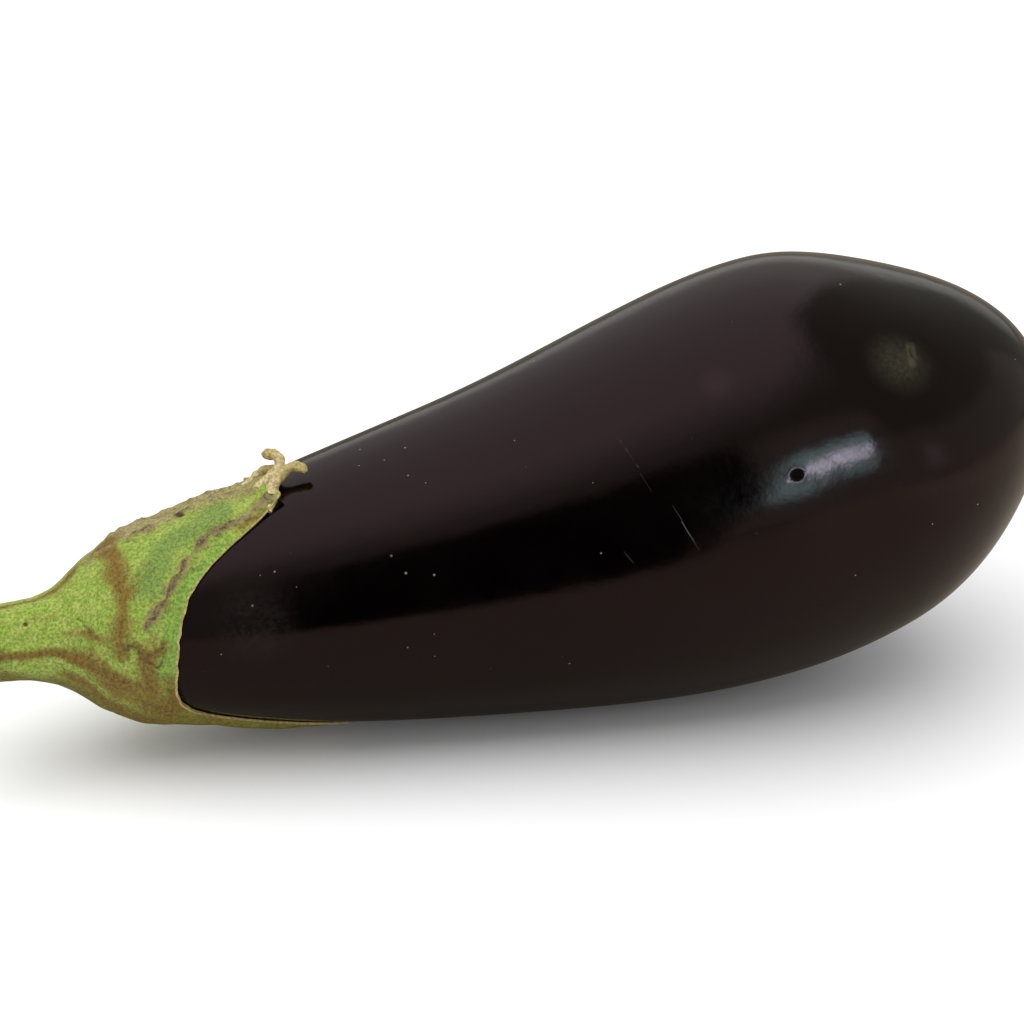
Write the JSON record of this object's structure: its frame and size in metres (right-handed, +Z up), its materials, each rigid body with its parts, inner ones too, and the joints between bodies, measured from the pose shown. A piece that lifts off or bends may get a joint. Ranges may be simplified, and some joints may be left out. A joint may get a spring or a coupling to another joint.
{
  "type": "eggplant",
  "caption": "Plump pear-shaped eggplant lying on its side, with a glossy near-black skin, a lobed green calyx hugging the neck and a short cut stem.",
  "frame": {"origin": "middle of the bounding box in X and Y, at the surface that the eggplant lies on (z = 0)", "axes": "+X along the fruit from the cut stem to the blossom end, +Z up, -Y the side with the wide gap between two calyx lobes"},
  "size_m": [0.232, 0.0858, 0.09],
  "materials": {
    "skin": "glossy waxy near-black purple eggplant skin",
    "calyx": "matt, slightly fuzzy green sepal with tan corky ridges and a dry pale edge",
    "stem": "matt green stalk with brown streaks and a dry cut end"
  },
  "bodies": {
    "root": {"fruit": "skin", "calyx": "calyx", "stem": "stem"}
  },
  "joints": []
}
